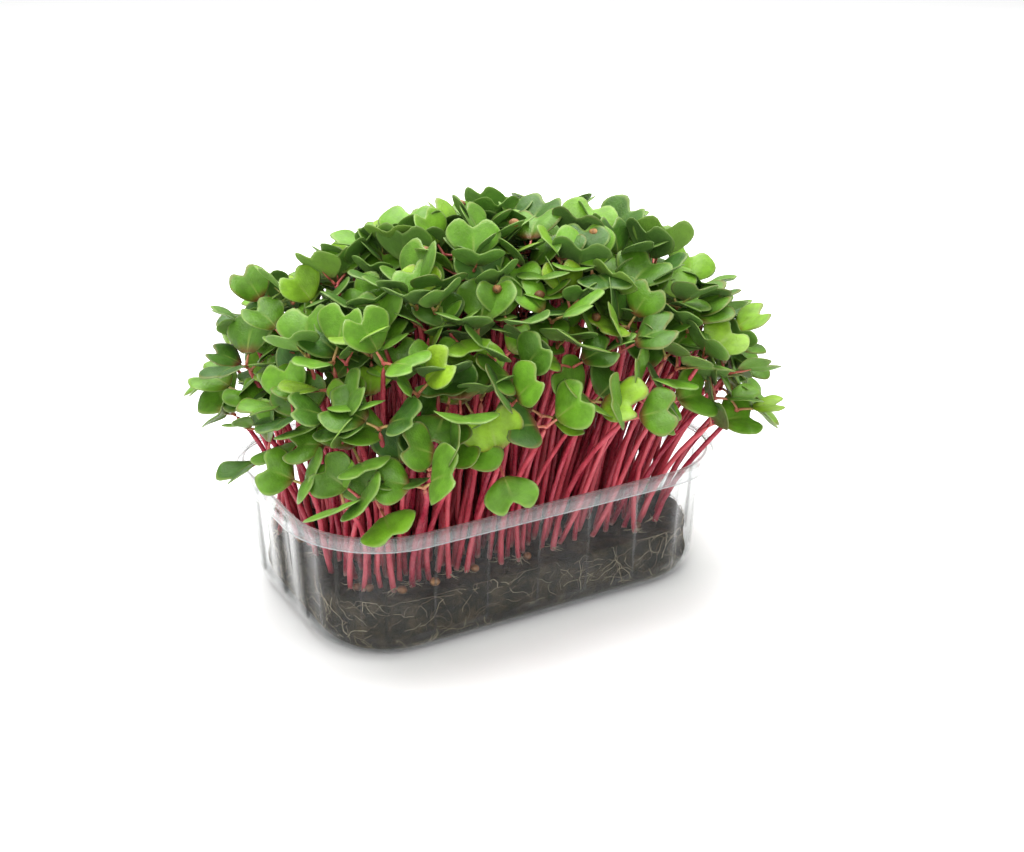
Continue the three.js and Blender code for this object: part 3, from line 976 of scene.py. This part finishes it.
def grow_blade(bm, leaf, dice, thickness):
    """A heart-shaped blade: a small grid laid on the leaf's shape, then drawn out to its thickness."""
    pillow = dice(0.03, 0.10)
    ripple = dice(0.0, 0.05)
    phase = dice(0, 2 * math.pi)
    tone, blush = dice(0, 1), dice(0, 1)
    grid = bmesh.ops.create_grid(bm, x_segments=6, y_segments=4, size=1)["verts"]
    faces = list({face for vert in grid for face in vert.link_faces})
    s = np.array([(vert.co.y + 1) / 2 for vert in grid])
    t = np.array([vert.co.x for vert in grid])
    notch = dice(0.1, 0.27) * s**3 * np.maximum(0, 1 - np.abs(t) / 0.33)
    swell = pillow * np.sin(np.pi * np.abs(t)) * np.sin(np.pi * np.minimum(1, 0.15 + 0.8 * s))
    wave = ripple * np.abs(t) ** 3 * np.sin(7 * s + phase + np.where(t > 0, 1.9, 0))
    places = leaf.points(s, t, (swell + wave) * leaf.length)
    places = places - np.multiply.outer(notch * leaf.length, leaf.along)
    across, along = bm.verts.layers.float["across"], bm.verts.layers.float["along"]
    for vert, place, share, side in zip(grid, places, s, t):
        vert.co = place
        vert[across] = side
        vert[along] = share
    set_numbers(bm, grid, tone=tone, blush=blush)
    grown = bmesh.ops.extrude_face_region(bm, geom=faces, use_keep_orig=True)["geom"]
    upper = [item for item in grown if isinstance(item, bmesh.types.BMVert)]
    top = [item for item in grown if isinstance(item, bmesh.types.BMFace)]
    normal = Vector(leaf.normal)
    for vert in upper:
        vert.co += normal * thickness * (1 - 0.45 * abs(vert[across]) ** 3)
    for face in {face for vert in grid for face in vert.link_faces} | set(top):
        face.material_index = LEAF_UNDER
    for face in top:
        face.material_index = LEAF_TOP


def grow_petiole(bm, sprout, leaf, settings, blush):
    """The leaf's stalk, which leaves the crown upright and runs out under the blade as its midrib."""
    span = leaf.base - sprout.crown
    length = math.sqrt(span @ span)
    bend = [sprout.crown - sprout.axis * 0.6, sprout.crown + sprout.axis * length * 0.3]
    bend += [leaf.base - leaf.along * length * 0.4, leaf.base + leaf.along * 0.4]
    rib = leaf.points(np.array((0.22, 0.42)), np.zeros(2), -0.12)
    path = [*bezier(bend, (0, 0.3, 0.65, 1)), *rib]
    radius = settings.stem_radius / MM
    girth = [radius * share for share in (0.8, 0.66, 0.55, 0.5, 0.32, 0.12)]
    sweep(bm, path, girth, 5, STEM, span=(STALK_START, 1), tone=0.35, blush=blush)


def grow_sprout(bm, sprout, number, settings):
    """One seedling: stem, two stalks and two blades."""
    dice = dice_of(SPROUT_SEED + number)
    radius = settings.stem_radius / MM * dice(0.88, 1.12)
    shares = (0, 0.06, 0.18, 0.34, 0.5, 0.66, 0.82, 1)
    foot = sprout.stem[0] - UP * (JOINT_GAP + ROOTED)
    path = bezier([foot, *sprout.stem[1:]], shares)
    girth = (1.15, 1.12, 1.05, 1.0, 0.96, 0.92, 0.9, 0.95)
    blush = dice(0, 1)
    girth = [radius * share for share in girth]
    sweep(bm, path, girth, 6, STEM, span=(0, STALK_START), tone=dice(0, 1), blush=blush)
    for leaf in sprout.leaves:
        grow_petiole(bm, sprout, leaf, settings, blush)
        grow_blade(bm, leaf, dice, settings.thickness / MM)


def check_stand(sprout, node):
    """Stops the script if a sprout doesn't stand where its CAD node does."""
    points = np.vstack((sprout.samples()[0], sprout.stem[0], sprout.crown))
    low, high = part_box(node)
    off = max(np.abs(points.min(0) * MM - low).max(), np.abs(points.max(0) * MM - high).max())
    if off > STAND_TOLERANCE:
        raise RuntimeError(f"{node} is {off * 1000:.1f} mm from where the layout puts it")


class GrowSprouts(bpy.types.Operator):
    """Grows every seedling: one piece for each CAD sprout, and bunches of the ones between"""

    bl_idname = "microgreens.grow_sprouts"
    bl_label = "Sprouts"

    def execute(self, context):
        settings = context.scene.sprout_settings
        leaves = [leaf_material(settings, "seed_leaf"), leaf_material(settings, "seed_leaf_under", True)]
        materials = [*leaves, stem_material(settings)]
        sprouts = stand_sprouts(settings.sprouts)
        for index, sprout in enumerate(sprouts[:CAD_SPROUTS]):
            node = f"sprout_{index + 1:02d}"
            check_stand(sprout, node)
            self.grow(settings, materials, [sprout], index, f"seedling_{index + 1:02d}", [node])
        between = sprouts[CAD_SPROUTS:]
        between.sort(key=lambda sprout: (round(sprout.stem[0][0] / COLUMN), sprout.stem[0][1]))
        for start in range(0, len(between), BUNCH):
            number = CAD_SPROUTS + start
            name = f"seedlings_between_{start // BUNCH + 1:02d}"
            self.grow(settings, materials, between[start : start + BUNCH], number, name, [])
        high_in_front = sorted(between, key=lambda sprout: sprout.crown[1] * 0.5 - sprout.crown[2])
        caught = high_in_front[::5][:HUSKS_CAUGHT]
        material = husk_material(settings)
        for number, sprout in enumerate(caught, start=101):
            place = sprout.leaves[0].points(np.array((0.7,)), np.array((0.3,)), 1.5)[0]
            grow_husk(Vector(place), HUSK_HALF, number, material)
        return {"FINISHED"}

    def grow(self, settings, materials, sprouts, number, name, nodes):
        bm = new_bmesh("across", "along", "tone", "blush")
        for offset, sprout in enumerate(sprouts):
            grow_sprout(bm, sprout, number + offset, settings)
        bmesh.ops.recalc_face_normals(bm, faces=bm.faces)
        finish_piece(bm, name, materials, nodes, subdivisions=1)


# ------------------------------------------------------------------ seed husks
def grow_husk(centre, half, number, material, nodes=()):
    """A seed coat: a pinched ball with its two halves folded together along a seam."""
    dice = dice_of(HUSK_SEED + number)
    bm = new_bmesh("along", "tone")
    ball = bmesh.ops.create_uvsphere(bm, u_segments=12, v_segments=8, radius=1)["verts"]
    along = bm.verts.layers.float["along"]
    for vert in ball:
        seam = math.exp(-((vert.co.y / 0.16) ** 2)) * max(0.0, vert.co.z)
        pinch = 1 - 0.28 * max(0.0, vert.co.x) ** 3
        vert[along] = max(0.0, vert.co.x)
        wrinkle = 1 + 0.05 * noise.noise(vert.co * 3 + Vector((number, 0, 0)))
        vert.co = Vector((vert.co.x, vert.co.y * pinch, vert.co.z * pinch)) * (1 - 0.22 * seam) * wrinkle
    set_numbers(bm, ball, tone=dice(0, 1))
    bmesh.ops.scale(bm, vec=half, verts=ball)
    bmesh.ops.rotate(bm, matrix=Matrix.Rotation(dice(0, 2 * math.pi), 3, "Z"), verts=ball)
    bmesh.ops.translate(bm, vec=centre, verts=ball)
    finish_piece(bm, f"seed_coat_{number}", [material], nodes, subdivisions=1)


class ShedHusks(bpy.types.Operator):
    """Drops the split seed coats: one for each CAD husk, and more beside the outer stems' feet"""

    bl_idname = "microgreens.shed_husks"
    bl_label = "Seed husks"

    def execute(self, context):
        settings = context.scene.sprout_settings
        material = husk_material(settings)
        dice = dice_of(HUSK_PLACE_SEED)
        for number in range(1, CAD_HUSKS + 1):
            node = f"seed_husk_{number}"
            low, high = (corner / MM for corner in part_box(node))
            grow_husk((low + high) / 2, (high - low) / 2, number, material, [node])
        for number, (x, y) in enumerate(outer_feet(settings.sprouts)[::2], start=CAD_HUSKS + 1):
            turn = math.atan2(y, x)
            x -= HUSK_ASIDE * math.sin(turn)
            y += HUSK_ASIDE * math.cos(turn)
            centre = Vector((x, y, MEDIUM_TOP + 0.7))
            grow_husk(centre, HUSK_HALF * dice(0.85, 1), number, material)
        return {"FINISHED"}


# ------------------------------------------------------------------ the stage
CAMERA_SHIFT = (0.034, 0.0231)
FLOOR_HALF = 4


def area_light(name, place, aim, size, power):
    """A soft square light that faces a point."""
    light = bpy.data.lights.new(name, "AREA")
    light.size = size
    light.energy = power
    lamp = bpy.data.objects.new(name, light)
    bpy.context.scene.collection.objects.link(lamp)
    place, aim = Vector(place), Vector(aim)
    turn = (aim - place).to_track_quat("-Z", "Y").to_matrix()
    lamp.matrix_world = Matrix.Translation(place) @ turn.to_4x4()


class SetStage(bpy.types.Operator):
    """Sets the pale floor, the soft lights and the camera"""

    bl_idname = "microgreens.set_stage"
    bl_label = "Stage"

    def execute(self, context):
        settings = context.scene.stage_settings
        self.lay_floor(settings)
        self.light(context.scene)
        self.aim_camera(context.scene, settings)
        context.scene.view_settings.view_transform = "Standard"
        context.scene.view_settings.look = "Medium High Contrast"
        return {"FINISHED"}

    def lay_floor(self, settings):
        bm = bmesh.new()
        bmesh.ops.create_grid(bm, x_segments=1, y_segments=1, size=FLOOR_HALF)
        mesh = bpy.data.meshes.new("floor")
        bm.to_mesh(mesh)
        bm.free()
        material, tree, surface = new_material("pale_floor")
        inputs = {"Base Color": tint(settings.floor_colour), "Roughness": 0.8}
        face = add_node(tree, "ShaderNodeBsdfPrincipled", inputs)
        tree.links.new(face.outputs[0], surface)
        mesh.materials.append(material)
        floor = bpy.data.objects.new("floor", mesh)
        bpy.context.scene.collection.objects.link(floor)

    def light(self, scene):
        world = bpy.data.worlds.new("soft_white")
        world.use_nodes = True
        world.node_tree.nodes["Background"].inputs["Color"].default_value = (1, 1, 1, 1)
        world.node_tree.nodes["Background"].inputs["Strength"].default_value = 0.62
        scene.world = world
        area_light("overhead", (0.1, 0.25, 1.1), (0, 0, 0.05), 1.3, 21)
        area_light("front_fill", (-0.7, -0.9, 0.7), (0, 0, 0.06), 0.8, 6)

    def aim_camera(self, scene, settings):
        azimuth, elevation = settings.azimuth, settings.elevation
        back = Vector((
            math.sin(azimuth) * math.cos(elevation),
            -math.cos(azimuth) * math.cos(elevation),
            math.sin(elevation),
        ))
        aim = Vector((0, 0, 0.04))
        data = bpy.data.cameras.new("camera")
        data.lens = settings.lens
        data.sensor_width = 36
        data.clip_start = 0.01
        data.shift_x, data.shift_y = CAMERA_SHIFT
        camera = bpy.data.objects.new("camera", data)
        scene.collection.objects.link(camera)
        turn = back.to_track_quat("Z", "Y").to_matrix()
        camera.matrix_world = Matrix.Translation(aim + back * settings.distance) @ turn.to_4x4()
        scene.camera = camera


# ------------------------------------------------------------------ the add-on
SETTINGS = {
    "punnet_settings": PunnetSettings,
    "medium_settings": MediumSettings,
    "sprout_settings": SproutSettings,
    "stage_settings": StageSettings,
}
OPERATORS = (MakePunnet, MakeMedium, MakeRoots, MakeCrumbs, GrowSprouts, ShedHusks, SetStage)


class MicrogreensPanel(bpy.types.Panel):
    """Lists the steps that build the punnet"""

    bl_idname = "VIEW3D_PT_microgreens"
    bl_label = "Microgreens punnet"
    bl_space_type = "VIEW_3D"
    bl_region_type = "UI"
    bl_category = "Microgreens"

    def draw(self, context):
        for operator in OPERATORS:
            self.layout.operator(operator.bl_idname)


def register():
    for kind in (*SETTINGS.values(), *OPERATORS, MicrogreensPanel):
        bpy.utils.register_class(kind)
    for name, kind in SETTINGS.items():
        setattr(bpy.types.Scene, name, PointerProperty(type=kind))


def unregister():
    for name in SETTINGS:
        delattr(bpy.types.Scene, name)
    for kind in (MicrogreensPanel, *reversed(OPERATORS), *reversed(SETTINGS.values())):
        bpy.utils.unregister_class(kind)


def main():
    register()
    bpy.ops.microgreens.make_punnet()
    bpy.ops.microgreens.make_medium()
    bpy.ops.microgreens.make_roots()
    bpy.ops.microgreens.make_crumbs()
    bpy.ops.microgreens.grow_sprouts()
    bpy.ops.microgreens.shed_husks()
    bpy.ops.microgreens.set_stage()


if __name__ == "__main__":
    main()
